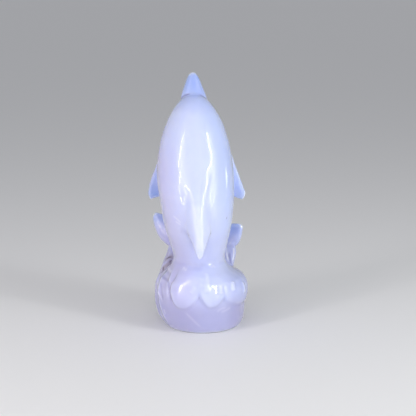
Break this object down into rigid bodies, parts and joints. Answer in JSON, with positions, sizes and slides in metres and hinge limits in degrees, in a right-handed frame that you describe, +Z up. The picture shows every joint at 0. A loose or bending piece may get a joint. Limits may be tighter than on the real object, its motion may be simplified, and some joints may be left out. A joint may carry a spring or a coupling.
{
  "type": "carved stone dolphin figurine",
  "caption": "Small stone carving of a dolphin leaping upright from a rounded wave, cut from one piece, standing on its own flat foot.",
  "frame": {"origin": "on the floor, under the centre of the carving's box", "axes": "+Z up along the dolphin, from the foot to the beak; +Y towards its belly and tail flukes, -Y towards its back and dorsal fin"},
  "size_m": [0.0432, 0.0474, 0.1091],
  "materials": {
    "chalcedony": "polished milky lavender-blue chalcedony, translucent in the thin fins and beak tip"
  },
  "bodies": {
    "root": {"dolphin_on_wave": "chalcedony"}
  },
  "joints": []
}
